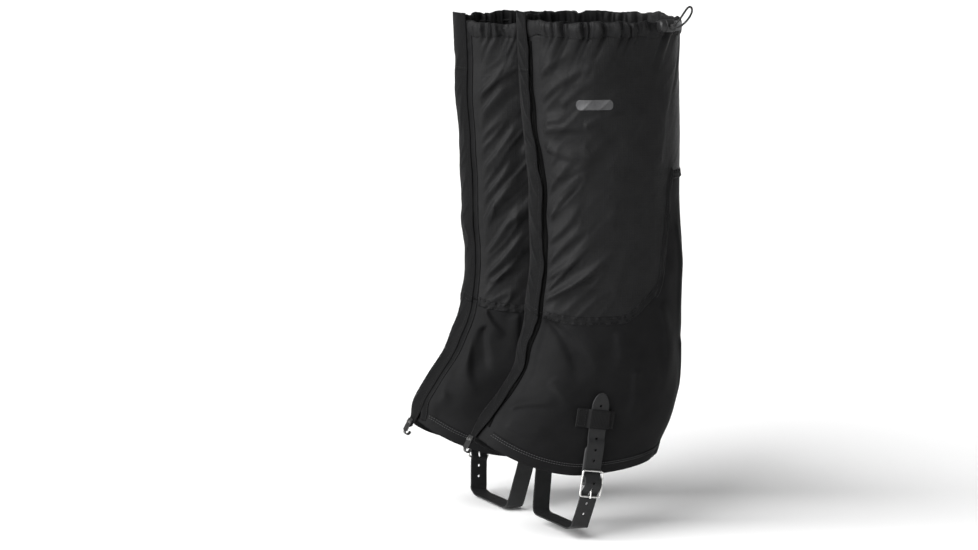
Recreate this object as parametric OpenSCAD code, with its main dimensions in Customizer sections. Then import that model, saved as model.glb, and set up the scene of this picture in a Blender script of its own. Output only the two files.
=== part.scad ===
// A pair of tall front-closing gaiters, held in the shape they have when worn.
// Millimetres, +Z up. Toes point to -X and the wearer's left gaiter is the one nearer -Y.
// The origin is the middle of the left instep strap's upper face, under the arch of the foot.

/* [Gaiter] */
// Height of the rim above the strap's face under the arch
rim_h = 507; // [500:1:512]
// Height of the drawcord casing
casing_h = 17; // [16:1:20]
// Thickness of the panels' fabric, as modelled
cloth_t = 1.6; // [1.2:0.1:1.8]
// Distance from the arch strap back to the leg's centre line
leg_x = 42; // [41:1:43]

/* [Pair] */
// Distance between the two gaiters
pair_spacing = 150; // [150:5:220]
// How much lower the right gaiter sits than the left
right_drop = 8; // [0:1:20]

/* [Strap and buckle] */
// Width of the instep strap
strap_w = 19; // [17:0.5:19]
// Thickness of the instep strap
strap_t = 2; // [1.8:0.1:2]
// Distance between the strap's holes
hole_pitch = 11; // [10.5:0.5:11]
// Radius of the strap's holes
hole_r = 1.4; // [1:0.1:1.6]
// Lean of the strap's side, from upright towards the heel
strap_lean = 9; // [8:1:10]
// Radius of the buckle's wire
wire_r = 1; // [0.9:0.05:1]

/* [Cord lock] */
// Outer radius of the cord lock's barrel
barrel_r = 6.3; // [6.1:0.1:6.3]
// Radius of the plunger
plunger_r = 5; // [4.8:0.1:5]
// Radius of the drawcord
cord_r = 1; // [0.9:0.05:1]

/* [Hidden] */
SIDES = ["left", "right"];
PIECES = ["upper_panel", "lower_panel", "seam_band", "top_casing", "hem_band", "heel_elastic",
    "closure_seam",
    "loop_tape", "flap_top", "flap_upper", "hook_tape_upper", "flap_lower", "hook_tape_lower", "lace_hook",
    "lace_hook_rivets", "drawcord", "drawcord_loop", "cord_lock_barrel", "cord_lock_spring",
    "cord_lock_plunger", "instep_strap", "strap_anchor", "strap_rivets", "strap_keeper", "buckle_tab",
    "buckle_frame", "buckle_prong"];
NODES = [for (side = SIDES) for (piece = PIECES) str(side, "_", piece)];
node = "all";
eps = 0.01;

// Reach of the leg's outline at each height: [height, millimetres from the leg's centre line]
FRONT_REACH = [[50, 150], [80, 143], [93, 136], [110, 126], [130, 112], [160, 90], [200, 76], [250, 71],
    [350, 73], [410, 80], [460, 84], [515, 87]];
BACK_REACH = [[50, 58], [70, 68], [100, 85], [130, 90], [160, 91], [250, 92], [350, 88], [460, 86],
    [515, 84]];
HALF_WIDTH = [[50, 50], [100, 50], [130, 48.5], [200, 48], [250, 50], [350, 54], [410, 56], [515, 57]];

// Angles round the leg, in degrees: 0 at the heel, 90 at the outer side, 180 at the front
step_a = 6;
slit_outer_a = 178;
slit_inner_a = 184;
hem_share = 0.09;
ROW_SHARES = [hem_share, 1 / 6, 1 / 3, 1 / 2, 2 / 3, 5 / 6];

function ease(t) = let (c = max(0, min(1, t))) c * c * (3 - 2 * c);
function mix(a, b, t) = a + (b - a) * t;
// Both sides of the leg share one outline, so an angle is folded onto the outer half
function fold(a) = let (w = (a + 360) % 360) w > 180 ? 360 - w : w;
hem_low = 55;
hem_front_rise = 38;
hem_back_rise = 11;
function hem_z(a) = let (f = fold(a))
    hem_low + hem_front_rise * ease((f - 85) / 95) + hem_back_rise * pow(max(0, 85 - f) / 85, 2);
seam_low = 208;
seam_side_rise = 34;
seam_back_rise = 108;
seam_front_rise = 14;
function seam_z(a) = let (f = fold(a)) seam_low + seam_side_rise * ease((96 - f) / 42)
    + seam_back_rise * ease((66 - f) / 22) + seam_front_rise * pow(max(0, f - 110) / 70, 2);
function casing_z(a) = rim_h - casing_h;

// A point of the leg's outline at angle a and height h, moved outwards by out
function outline(a, h, out) = let (
        front = lookup(h, FRONT_REACH), back = lookup(h, BACK_REACH), half = lookup(h, HALF_WIDTH),
        mid = (back - front) / 2, long = (back + front) / 2,
        nx = cos(a) / long, ny = sin(a) / half, n = norm([nx, ny]))
    [leg_x + mid + long * cos(a) + out * nx / n, -half * sin(a) - out * ny / n, h];

// Regular steps from a to b, both ends kept
function steps(a, b, s) = concat([a], [for (v = [s * (floor(a / s) + 1) : s : b - s / 100]) v], [b]);

// The rows of a sheet from share t0 to share t1 of a panel's height: the panel's own rows lie between them
function shares(t0, t1) = concat([t0], [for (t = ROW_SHARES) if (t > t0 && t < t1) t], [t1]);

// A quad as two triangles
function quad(a, b, c, d) = [[a, b, c], [a, c, d]];

// A closed sheet between two heights and two offsets. low and high are lists of heights, one per angle, and
// top, where it is given, is the last row's own heights
module sheet(angles, low, high, fractions, inner, outer, top = []) {
    nc = len(angles);
    nr = len(fractions);
    function row_z(r, i) = r == nr - 1 && len(top) > 0 ? top[i] : mix(low[i], high[i], fractions[r]);
    points = [for (out = [inner, outer]) for (r = [0 : nr - 1]) for (i = [0 : nc - 1])
        outline(angles[i], row_z(r, i), out)];
    function at(layer, r, c) = layer * nr * nc + r * nc + c;
    faces = concat(
        [for (r = [0 : nr - 2]) for (c = [0 : nc - 2]) each
            quad(at(0, r, c), at(0, r + 1, c), at(0, r + 1, c + 1), at(0, r, c + 1))],
        [for (r = [0 : nr - 2]) for (c = [0 : nc - 2]) each
            quad(at(1, r, c), at(1, r, c + 1), at(1, r + 1, c + 1), at(1, r + 1, c))],
        [for (c = [0 : nc - 2]) each quad(at(0, 0, c), at(0, 0, c + 1), at(1, 0, c + 1), at(1, 0, c))],
        [for (c = [0 : nc - 2]) each
            quad(at(0, nr - 1, c), at(1, nr - 1, c), at(1, nr - 1, c + 1), at(0, nr - 1, c + 1))],
        [for (r = [0 : nr - 2]) each quad(at(0, r, 0), at(1, r, 0), at(1, r + 1, 0), at(0, r + 1, 0))],
        [for (r = [0 : nr - 2]) each
            quad(at(0, r, nc - 1), at(0, r + 1, nc - 1), at(1, r + 1, nc - 1), at(1, r, nc - 1))]);
    polyhedron(points, [for (f = faces) [f[2], f[1], f[0]]]);
}

// Sheets over the lower panel, the upper panel and the casing, from fraction t0 to t1 of their height
module on_lower(a0, a1, t0, t1, inner, outer) {
    angles = steps(a0, a1, step_a);
    low = [for (a = angles) hem_z(a)];
    high = [for (a = angles) seam_z(a)];
    sheet(angles, low, high, shares(t0, t1), inner, outer);
}
module on_upper(a0, a1, t0, t1, inner, outer) {
    angles = steps(a0, a1, step_a);
    low = [for (a = angles) seam_z(a)];
    high = [for (a = angles) casing_z(a)];
    sheet(angles, low, high, shares(t0, t1), inner, outer);
}
module on_casing(a0, a1, low, high, inner, outer) {
    angles = steps(a0, a1, step_a);
    bottom = [for (a = angles) casing_z(a) + low];
    top = [for (a = angles) casing_z(a) + high];
    sheet(angles, bottom, top, [0, 1], inner, outer);
}

// The panels run from the inner edge of the front slit, round the heel, to its outer edge
panel_a0 = slit_inner_a - 360;
panel_a1 = slit_outer_a;

module upper_panel() {
    color([0.13, 0.13, 0.14]) on_upper(panel_a0, panel_a1, 0, 1, -cloth_t, 0);
}

module lower_panel() {
    color([0.09, 0.09, 0.10]) on_lower(panel_a0, panel_a1, 0, 1, -cloth_t, 0);
}

// The bands stop short of the front closure. The seam band keeps its width where the seam climbs, so its
// height grows with the slope
band_inner_a = -160;
band_outer_a = 158;
band_half_w = 4.5;
band_t = 0.8;
band_gap = 0.3;
mm_per_deg = 1.3;
function seam_slope(a) = (seam_z(a + 1) - seam_z(a - 1)) / (2 * mm_per_deg);
function band_half_h(a) = band_half_w * sqrt(1 + pow(seam_slope(a), 2));
module seam_band() {
    angles = steps(band_inner_a, band_outer_a, step_a);
    low = [for (a = angles) seam_z(a) - band_half_h(a)];
    high = [for (a = angles) seam_z(a) + band_half_h(a)];
    color([0.11, 0.11, 0.12]) sheet(angles, low, high, [0, 1], band_gap, band_gap + band_t);
}

// The casing is a folded tunnel that hangs inside the rim: each section is a square ring of eight corners
casing_in = -3.4;
casing_out = 1;
casing_wall = 1;
eyelet = [11, 8, 6];
module top_casing() {
    angles = steps(panel_a0, panel_a1, step_a);
    last = len(angles) - 1;
    section = [for (w = [0, casing_wall]) each [[casing_in + w, w], [casing_out - w, w],
        [casing_out - w, casing_h - w], [casing_in + w, casing_h - w]]];
    points = [for (a = angles) for (p = section) outline(a, casing_z(a) + p[1], p[0])];
    function side(i, k, ring) = let (a = 8 * i + 4 * ring + k, b = 8 * i + 4 * ring + (k + 1) % 4)
        ring == 0 ? quad(a, b, b + 8, a + 8) : quad(a, a + 8, b + 8, b);
    function cap(i, k) = let (a = 8 * i + k, b = 8 * i + (k + 1) % 4)
        i == 0 ? quad(a, a + 4, b + 4, b) : quad(a, b, b + 4, a + 4);
    faces = concat(
        [for (i = [0 : last - 1]) for (k = [0 : 3]) for (ring = [0, 1]) each side(i, k, ring)],
        [for (i = [0, last]) for (k = [0 : 3]) each cap(i, k)]);
    color([0.13, 0.13, 0.14]) difference() {
        polyhedron(points, faces);
        translate([lock_x, lock_eyelet_y, cord_z] - eyelet / 2) cube(eyelet);
    }
}

hem_gap = 0.12;
module hem_band() {
    color([0.08, 0.08, 0.09]) on_lower(band_inner_a, band_outer_a, 0, hem_share, hem_gap, hem_gap + band_t);
}

elastic_half_a = 30;
elastic_gap = 0.3;
elastic_t = 1.2;
module heel_elastic() {
    outside = -cloth_t - elastic_gap;
    color([0.07, 0.07, 0.08])
        on_lower(-elastic_half_a, elastic_half_a, 0, hem_share, outside - elastic_t, outside);
}

// Front closure. The strip folds about its sewn inner edge and closes over the loop tape
flap_outer_a = 163;
flap_inner_a = 193;
flap_in = 2.3;
flap_out = 3.7;
loop_outer_a = 159;
hook_outer_a = 165;
tape_inner_a = 176;
tape_t = 0.9;
hook_gap = 0.2;
top_share = 0.87;
tip_share = -0.07;
flap_over_rim = 8;
sewn_a0 = 195;
sewn_a1 = 199;
module closure_seam() {
    color([0.08, 0.08, 0.09]) {
        on_lower(sewn_a0, sewn_a1, 0.01, 1, 0, flap_out);
        on_upper(sewn_a0, sewn_a1, 0, 1, 0, flap_out);
    }
}

module loop_tape() {
    color([0.05, 0.05, 0.05]) {
        on_lower(loop_outer_a, tape_inner_a, hem_share, 1, 0, tape_t);
        on_upper(loop_outer_a, tape_inner_a, 0, 0.98, 0, tape_t);
    }
}

module flap_top() {
    color([0.10, 0.10, 0.11]) {
        on_upper(flap_outer_a, flap_inner_a, top_share, 1, flap_in, flap_out);
        on_casing(flap_outer_a, flap_inner_a, 0, casing_h + flap_over_rim, flap_in, flap_out);
    }
}

module flap_upper() {
    color([0.08, 0.08, 0.09]) on_upper(flap_outer_a, flap_inner_a, 0.02, top_share, flap_in, flap_out);
}

hook_out = flap_in - hook_gap;
module hook_tape_upper() {
    color([0.05, 0.05, 0.05])
        on_upper(hook_outer_a, tape_inner_a, 0.03, top_share - 0.01, hook_out - tape_t, hook_out);
}

// The lower length's top edge slopes down towards its free edge, so that it clears the upper length as both
// open. Its tip hangs below the hem
mitre_gap = 3;
mitre_drop = 15;
function mitre_z(a) = seam_z(a) - mitre_gap
    - mitre_drop * (flap_inner_a - a) / (flap_inner_a - flap_outer_a);
module flap_lower() {
    angles = steps(flap_outer_a, flap_inner_a, step_a);
    low = [for (a = angles) hem_z(a)];
    high = [for (a = angles) seam_z(a)];
    mitre = [for (a = angles) mitre_z(a)];
    color([0.08, 0.08, 0.09]) sheet(angles, low, high, shares(tip_share, 1), flap_in, flap_out, mitre);
}

hook_low_share = 1 / 6;
hook_high_share = 5 / 6;
module hook_tape_lower() {
    color([0.05, 0.05, 0.05])
        on_lower(hook_outer_a, tape_inner_a, hook_low_share, hook_high_share, hook_out - tape_t, hook_out);
}

// Lace hook: a plate riveted on the strip's tip, with a prong that curls back under it
hook_w = 9;
hook_t = 1.2;
hook_plate_h = 14;
hook_bend_r = 3.5;
hook_return = 1.5;
hook_slope = 29;
hook_gap_out = 0.3;
hook_rivet_r = 1.5;
hook_rivet_y = 2.3;
hook_rivet_z = 3;
hook_rivet_head = 0.8;
hook_shank_r = 1;
hook_seat_h = 88;
module at_tip() {
    seat = outline(180, hook_seat_h, flap_out);
    translate(seat) rotate([0, hook_slope, 0]) children();
}

module lace_hook() {
    bend_in = hook_bend_r - hook_t;
    bend_z = -hook_plate_h / 2;
    color([0.12, 0.12, 0.12]) at_tip() translate([-hook_t - hook_gap_out, 0, 0]) {
        difference() {
            translate([0, -hook_w / 2, bend_z]) cube([hook_t, hook_w, hook_plate_h]);
            for (side = [-1, 1]) translate([-1, side * hook_rivet_y, hook_rivet_z]) rotate([0, 90, 0])
                cylinder(r = hook_shank_r, h = hook_t + 2, $fn = 32);
        }
        translate([hook_bend_r, hook_w / 4, bend_z]) rotate([90, 0, 0])
            linear_extrude(hook_w / 2) difference() {
                circle(r = hook_bend_r, $fn = 48);
                circle(r = bend_in, $fn = 48);
                translate([-2 * hook_bend_r, 0]) square([4 * hook_bend_r, 2 * hook_bend_r]);
            }
        translate([2 * hook_bend_r - hook_t, -hook_w / 4, bend_z]) cube([hook_t, hook_w / 2, hook_return]);
    }
}

module lace_hook_rivets() {
    shank_h = hook_t + hook_gap_out;
    color([0.75, 0.75, 0.76]) at_tip() for (side = [-1, 1])
        translate([-shank_h, side * hook_rivet_y, hook_rivet_z]) rotate([0, -90, 0]) {
            cylinder(r = hook_rivet_r, h = hook_rivet_head, $fn = 32);
            translate([0, 0, -shank_h]) cylinder(r = hook_shank_r, h = shank_h + eps, $fn = 32);
        }
}

// Drawcord: two lengths in the casing, one behind each side of the front slit, and a free loop outside
lock_x = 89;
lock_y = -59;
cord_z = rim_h - 7;
lock_eyelet_y = -47;
strand_gap = 1.1;
lock_a = 55;
cord_off = -1.2;
cord_sides = 8;

// A round tube along a list of points. ring_ref is a direction that no part of a route runs along
ring_ref = [0.31, 0.2, 0.93];
module tube(path, r) {
    n = len(path);
    function dir(i) = let (v = path[min(i + 1, n - 1)] - path[max(i - 1, 0)]) v / norm(v);
    function ring(i) = let (d = dir(i), n = cross(d, ring_ref), s = n / norm(n), u = cross(s, d))
        [for (k = [0 : cord_sides - 1]) let (w = 360 * k / cord_sides)
            path[i] + r * (cos(w) * s + sin(w) * u)];
    points = [for (i = [0 : n - 1]) each ring(i)];
    faces = concat(
        [[for (k = [cord_sides - 1 : -1 : 0]) k]],
        [for (i = [0 : n - 2]) for (k = [0 : cord_sides - 1]) let (
                a = i * cord_sides + k, b = i * cord_sides + (k + 1) % cord_sides) each
            [[a, b, b + cord_sides], [a, b + cord_sides, a + cord_sides]]],
        [[for (k = [0 : cord_sides - 1]) (n - 1) * cord_sides + k]]);
    polyhedron(points, [for (f = faces) [for (k = [len(f) - 1 : -1 : 0]) f[k]]]);
}

cord_step_a = 7;
module drawcord() {
    outer = [for (a = [171 : -cord_step_a : lock_a + 4]) outline(a, cord_z + strand_gap, cord_off)];
    inner = [for (a = [-170 : cord_step_a : lock_a - 4]) outline(a, cord_z - strand_gap, cord_off)];
    exit_end = [lock_x, lock_eyelet_y, 0];
    color([0.06, 0.06, 0.06]) {
        tube(concat(outer, [exit_end + [0, 0, cord_z + strand_gap]]), cord_r);
        tube(concat(inner, [exit_end + [0, 0, cord_z - strand_gap]]), cord_r);
    }
}

// The free loop's route, from its upper exit to its lower one, with heights counted from the cord's own.
// The left loop stands up from its lock, and the right one hangs down from its own
LOOP_ROUTE = [[89, -48.2, 1.1], [89, -58, 1.1], [89, -68, 1.1], [89, -70.5, 1.4], [90, -73.5, 3],
    [92, -76, 6.5],
    [94.5, -77.5, 11], [97.5, -77.5, 15], [101, -77, 18.5], [104.3, -76.5, 19], [106, -76, 16.5],
    [105.4, -75.8, 12.5], [102.6, -75.6, 8], [98.6, -75.2, 3.6], [94.2, -74.4, 0.4], [90.8, -72.8, -1],
    [89, -70.5, -1.1], [89, -66, -1.1], [89, -58, -1.1], [89, -48.2, -1.1]];
module drawcord_loop(side) {
    way = side == "left" ? 1 : -1;
    color([0.05, 0.05, 0.05]) tube([for (p = LOOP_ROUTE) [p[0], p[1], cord_z + way * p[2]]], cord_r);
}

// Cord lock: the cords cross the barrel and the plunger, which slides into the barrel towards the toes
barrel_back = -11;
barrel_mouth = 6;
barrel_floor = 2;
plunger_tail = -3;
plunger_head = 13;
slot_h = 5;
plunger_clear = 0.06;
barrel_slot_half = 2.1;
plunger_slot_from = -1.5;
plunger_slot_to = 3.9;
spring_r = 3.6;
spring_bore_r = 2.6;
lock_through = 10;
module at_lock() {
    translate([lock_x, lock_y, cord_z]) children();
}
module along_x(from, to, r) {
    translate([from, 0, 0]) rotate([0, 90, 0]) cylinder(r = r, h = to - from, $fn = 64);
}

module cord_lock_barrel() {
    color([0.17, 0.17, 0.18]) at_lock() difference() {
        along_x(barrel_back, barrel_mouth, barrel_r);
        along_x(barrel_back + barrel_floor, barrel_mouth + 1, plunger_r + plunger_clear);
        translate([-barrel_slot_half, -lock_through, -slot_h / 2])
            cube([2 * barrel_slot_half, 2 * lock_through, slot_h]);
    }
}

module cord_lock_plunger() {
    color([0.34, 0.34, 0.35]) at_lock() difference() {
        along_x(plunger_tail, plunger_head, plunger_r);
        translate([plunger_slot_from, -lock_through, -slot_h / 2])
            cube([plunger_slot_to - plunger_slot_from, 2 * lock_through, slot_h]);
    }
}

module cord_lock_spring() {
    color([0.7, 0.7, 0.72]) at_lock() difference() {
        along_x(barrel_back + barrel_floor, plunger_tail, spring_r);
        along_x(barrel_back, plunger_tail + 1, spring_bore_r);
    }
}

// Instep strap. Its side part is drawn in the buckle's own frame: x across, y outwards-negative, z along it
buckle_z = 47;
buckle_y = -57.2;
buckle_x = buckle_z * tan(strap_lean);
arch_half = 34;
module at_buckle() {
    translate([buckle_x, buckle_y, buckle_z]) rotate([0, strap_lean, 0]) children();
}

// The strap's middle line from the sole's edge to its tip: [along the strap, outwards, share of full width]
rock_room = 1;
wrap_room = 1.3;
weave_in = wire_r + rock_room + strap_t / 2;
weave_out = -(wire_r + wrap_room + strap_t / 2);
SIDE_LINE = [[-45, 12, 1], [-40, 10.6, 1], [-28, 6.6, 1], [-15.5, weave_in, 1], [-11.5, weave_in, 1],
    [-3, weave_out, 1], [3, weave_out, 1], [10.5, weave_in, 1], [15.5, weave_in, 1], [40, weave_in, 1],
    [47, 4.6, 1], [78, 4.6, 1], [82, 4.6, 0.92], [86, 4.6, 0.72], [89, 4.6, 0.45], [91, 4.6, 0.15]];

// A flat band that follows stations of [x, y, z, half width, lean]
module ribbon(stations, thick) {
    n = len(stations);
    function pos(i) = [stations[i][0], stations[i][1], stations[i][2]];
    function across(i) = [cos(stations[i][4]), 0, -sin(stations[i][4])];
    function dir(i) = let (v = pos(min(i + 1, n - 1)) - pos(max(i - 1, 0))) v / norm(v);
    function normal(i) = let (v = cross(dir(i), across(i))) v / norm(v);
    corners = [[-1, -1], [1, -1], [1, 1], [-1, 1]];
    points = [for (i = [0 : n - 1]) for (c = corners)
        pos(i) + c[0] * stations[i][3] * across(i) + c[1] * thick / 2 * normal(i)];
    faces = concat([[0, 1, 2], [0, 2, 3]],
        [for (i = [0 : n - 2]) for (k = [0 : 3]) let (a = 4 * i + k, b = 4 * i + (k + 1) % 4) each
            [[a, a + 4, b + 4], [a, b + 4, b]]],
        [[4 * n - 2, 4 * n - 3, 4 * n - 4], [4 * n - 1, 4 * n - 2, 4 * n - 4]]);
    polyhedron(points, faces);
}

function side_station(s) = [
    buckle_x + s[0] * sin(strap_lean), buckle_y + s[1], buckle_z + s[0] * cos(strap_lean),
    s[2] * strap_w / 2, strap_lean];
function arch_station(y) = [0, y, -strap_t / 2, strap_w / 2, 0];

// The prong comes out through a hole that wear has drawn into a slot
prong_slot = [2 * hole_r, 9, 10];
prong_slot_z = -8.2;
first_hole_z = 1;
HOLE_STEPS = [-3, -2, 0, 1, 2, 3, 4, 5, 6, 7];
module strap_holes() {
    at_buckle() {
        for (k = HOLE_STEPS) translate([0, 0, first_hole_z + k * hole_pitch]) rotate([90, 0, 0])
            cylinder(r = hole_r, h = 2 * strap_w, center = true, $fn = 32);
        translate([0, 0, prong_slot_z]) cube(prong_slot, center = true);
    }
}

anchor_top = 84;
inner_y = 52;
half_w = strap_w / 2;
// The strap's turn at the sole's outer edge, and its way up the inner side: [x, y, z, half width, lean]
OUTER_TURN = [0.5, -41, 0.5, half_w, 4];
INNER_LINE = [[0.5, 41, 0.5, half_w, 4], [1.5, 45, 6, half_w, strap_lean], [6, 50, 30, half_w, strap_lean],
    [9.7, 53.2, 50, half_w, strap_lean], [15.9, 53.2, anchor_top, half_w, strap_lean]];
module instep_strap() {
    color([0.13, 0.13, 0.14]) {
        difference() {
            ribbon(concat([arch_station(-arch_half), OUTER_TURN],
                [for (s = SIDE_LINE) side_station(s)]), strap_t);
            strap_holes();
        }
        translate([-half_w, -arch_half, -strap_t]) cube([strap_w, 2 * arch_half, strap_t]);
        ribbon(concat([arch_station(arch_half)], INNER_LINE), strap_t);
    }
}

// The strap's fixed end, riveted through a patch on the inner side of the hem
ANCHOR_SEAT = [13.5, inner_y + 0.2, 71];
patch_w = 24;
patch_t = 1.2;
patch_low = -11;
rivet_r = 3;
rivet_h = 1;
module at_anchor() {
    translate(ANCHOR_SEAT) rotate([0, strap_lean, 0]) children();
}
RIVET_HEIGHTS = [-5, 6];
module strap_anchor() {
    color([0.09, 0.09, 0.10]) at_anchor() difference() {
        translate([-patch_w / 2, -patch_t, patch_low]) cube([patch_w, patch_t, patch_w]);
        for (z = RIVET_HEIGHTS) translate([0, 1, z]) rotate([90, 0, 0])
            cylinder(r = hole_r, h = patch_t + 2, $fn = 32);
    }
}

module strap_rivets() {
    color([0.75, 0.75, 0.76]) at_anchor() for (z = RIVET_HEIGHTS)
        translate([0, strap_t, z]) rotate([-90, 0, 0]) cylinder(r = rivet_r, h = rivet_h, $fn = 32);
}

// Keeper: a band sewn down at both ends, bridging the strap
keeper_z = 55;
keeper_h = 19;
keeper_toe = 24.5;
keeper_heel = 17.5;
keeper_t = 1.3;
keeper_inner = 3.3;
keeper_flange_y = 6;
module strap_keeper() {
    bridge = strap_w / 2 + 1;
    color([0.07, 0.07, 0.08]) at_buckle() translate([0, 0, keeper_z]) linear_extrude(keeper_h) polygon([
        [-keeper_toe, keeper_flange_y], [-bridge - 1, keeper_flange_y], [-bridge, keeper_inner],
        [bridge, keeper_inner], [bridge + 1, keeper_flange_y], [keeper_heel, keeper_flange_y],
        [keeper_heel, keeper_flange_y - keeper_t], [bridge + 2, keeper_flange_y - keeper_t],
        [bridge + 1, keeper_inner - keeper_t], [-bridge - 1, keeper_inner - keeper_t],
        [-bridge - 2, keeper_flange_y - keeper_t], [-keeper_toe, keeper_flange_y - keeper_t]]);
}

// Buckle: a rounded wire frame with a centre bar, held by a folded tab
frame_half_w = 11.2;
frame_half_h = 13;
corner_r = 2.5;
bar_clear = 0.08;
tab_t = 1;
tab_w = 19.6;
tab_notch = [4, 7, 9];
tab_top = 38;
tab_back_t = 1.5;
tab_gap = 0.3;
module along_bar(y, z, half, r) {
    translate([-half, y, z]) rotate([0, 90, 0]) cylinder(r = r, h = 2 * half, $fn = 48);
}
module buckle_frame() {
    straight_w = frame_half_w - corner_r;
    straight_h = frame_half_h - corner_r;
    color([0.78, 0.78, 0.78]) at_buckle() {
        for (z = [-frame_half_h, frame_half_h]) along_bar(0, z, straight_w, wire_r);
        along_bar(0, 0, frame_half_w, wire_r);
        for (x = [-frame_half_w, frame_half_w]) translate([x, 0, -straight_h])
            cylinder(r = wire_r, h = 2 * straight_h, $fn = 48);
        for (k = [0 : 3]) rotate([0, 90 * k, 0]) {
            reach = k % 2 == 0 ? [straight_w, straight_h] : [straight_h, straight_w];
            translate([reach[0], 0, reach[1]]) rotate([90, 0, 0])
                rotate_extrude(angle = 90, $fn = 48) translate([corner_r, 0]) circle(r = wire_r, $fn = 32);
        }
    }
}

module buckle_tab() {
    wrap_r = wire_r + bar_clear;
    inside_y = weave_in + strap_t / 2 + tab_gap;
    color([0.10, 0.10, 0.11]) at_buckle() difference() {
        union() {
            along_bar(0, 0, tab_w / 2, wrap_r + tab_t);
            translate([-tab_w / 2, 0, 0]) cube([tab_w, inside_y + tab_t, wrap_r + tab_t]);
            translate([-tab_w / 2, inside_y, 0]) cube([tab_w, tab_back_t, tab_top]);
        }
        along_bar(0, 0, tab_w, wrap_r);
        cube(tab_notch, center = true);
    }
}

// The prong's eye turns on the centre bar, and its tip lies on the front of the bottom bar
prong_r = 0.8;
prong_lean = 9;
prong_over = 1.6;
prong_len = 13;
eye_w = 3;
module buckle_prong() {
    color([0.78, 0.78, 0.78]) at_buckle() difference() {
        union() {
            along_bar(0, 0, eye_w / 2, wire_r + 1);
            rotate([-prong_lean, 0, 0]) translate([0, 0, -frame_half_h - prong_over])
                cylinder(r = prong_r, h = prong_len, $fn = 32);
        }
        along_bar(0, 0, eye_w, wire_r + bar_clear);
    }
}

module on_side(side) {
    if (side == "left") children();
    if (side == "right") translate([0, pair_spacing, -right_drop]) mirror([0, 1, 0]) children();
}

function wanted(side, piece) = node == "all" || node == str(side, "_", piece);
for (side = SIDES) on_side(side) {
    if (wanted(side, "upper_panel")) upper_panel();
    if (wanted(side, "lower_panel")) lower_panel();
    if (wanted(side, "seam_band")) seam_band();
    if (wanted(side, "top_casing")) top_casing();
    if (wanted(side, "hem_band")) hem_band();
    if (wanted(side, "heel_elastic")) heel_elastic();
    if (wanted(side, "closure_seam")) closure_seam();
    if (wanted(side, "loop_tape")) loop_tape();
    if (wanted(side, "flap_top")) flap_top();
    if (wanted(side, "flap_upper")) flap_upper();
    if (wanted(side, "hook_tape_upper")) hook_tape_upper();
    if (wanted(side, "flap_lower")) flap_lower();
    if (wanted(side, "hook_tape_lower")) hook_tape_lower();
    if (wanted(side, "lace_hook")) lace_hook();
    if (wanted(side, "lace_hook_rivets")) lace_hook_rivets();
    if (wanted(side, "drawcord")) drawcord();
    if (wanted(side, "drawcord_loop")) drawcord_loop(side);
    if (wanted(side, "cord_lock_barrel")) cord_lock_barrel();
    if (wanted(side, "cord_lock_spring")) cord_lock_spring();
    if (wanted(side, "cord_lock_plunger")) cord_lock_plunger();
    if (wanted(side, "instep_strap")) instep_strap();
    if (wanted(side, "strap_anchor")) strap_anchor();
    if (wanted(side, "strap_rivets")) strap_rivets();
    if (wanted(side, "strap_keeper")) strap_keeper();
    if (wanted(side, "buckle_tab")) buckle_tab();
    if (wanted(side, "buckle_frame")) buckle_frame();
    if (wanted(side, "buckle_prong")) buckle_prong();
}
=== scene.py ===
import bpy
import bmesh
import math
import numpy as np
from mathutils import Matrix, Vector


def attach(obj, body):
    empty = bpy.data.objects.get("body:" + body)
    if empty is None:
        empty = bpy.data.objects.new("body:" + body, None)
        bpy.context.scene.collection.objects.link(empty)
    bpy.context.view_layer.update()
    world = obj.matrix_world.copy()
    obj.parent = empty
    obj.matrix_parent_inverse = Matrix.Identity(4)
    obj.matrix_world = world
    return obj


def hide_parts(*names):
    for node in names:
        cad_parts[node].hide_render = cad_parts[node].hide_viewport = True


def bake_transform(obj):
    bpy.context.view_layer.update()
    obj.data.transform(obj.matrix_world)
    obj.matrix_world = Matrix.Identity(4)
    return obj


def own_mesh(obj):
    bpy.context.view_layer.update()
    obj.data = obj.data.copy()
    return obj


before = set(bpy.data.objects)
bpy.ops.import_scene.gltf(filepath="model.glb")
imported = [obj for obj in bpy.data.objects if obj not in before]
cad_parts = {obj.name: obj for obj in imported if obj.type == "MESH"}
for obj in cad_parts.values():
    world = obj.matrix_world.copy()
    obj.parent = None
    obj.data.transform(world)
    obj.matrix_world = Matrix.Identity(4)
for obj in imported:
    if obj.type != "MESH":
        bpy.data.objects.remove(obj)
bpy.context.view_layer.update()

# Lengths below are millimetres in the left gaiter's own frame; place() turns them into metres.
# The right gaiter is the left one mirrored, SPACING to its side and DROP lower.
MM = 0.001
SIDES = ("left", "right")
SPACING, DROP = 150.0, 8.0


def posture(side, x, z):
    """How far the cloth along the front stands back (+) or forward (-) on each gaiter."""
    instep, shin = ease((-15 - x) / 45), ease((12 - x) / 35)
    if side == "right":
        return (-7.5 * instep * ease((z - 94) / 22) * ease((230 - z) / 60)
                + shin * (3.5 * ease((z - 420) / 50) - 2.0 * ease((z - 270) / 30) * ease((400 - z) / 40)))
    return (4.5 * instep * ease((z - 112) / 24) * ease((186 - z) / 28)
            + 3.2 * shin * ease((z - 225) / 50))


def place(side, p):
    """Points of one gaiter, in millimetres, to the shared frame in metres."""
    q = np.array(p, float)
    q[..., 0] += posture(side, q[..., 0], q[..., 2])
    if side == "right":
        q[..., 1] = SPACING - q[..., 1]
        q[..., 2] = q[..., 2] - DROP
    return q * MM


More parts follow.
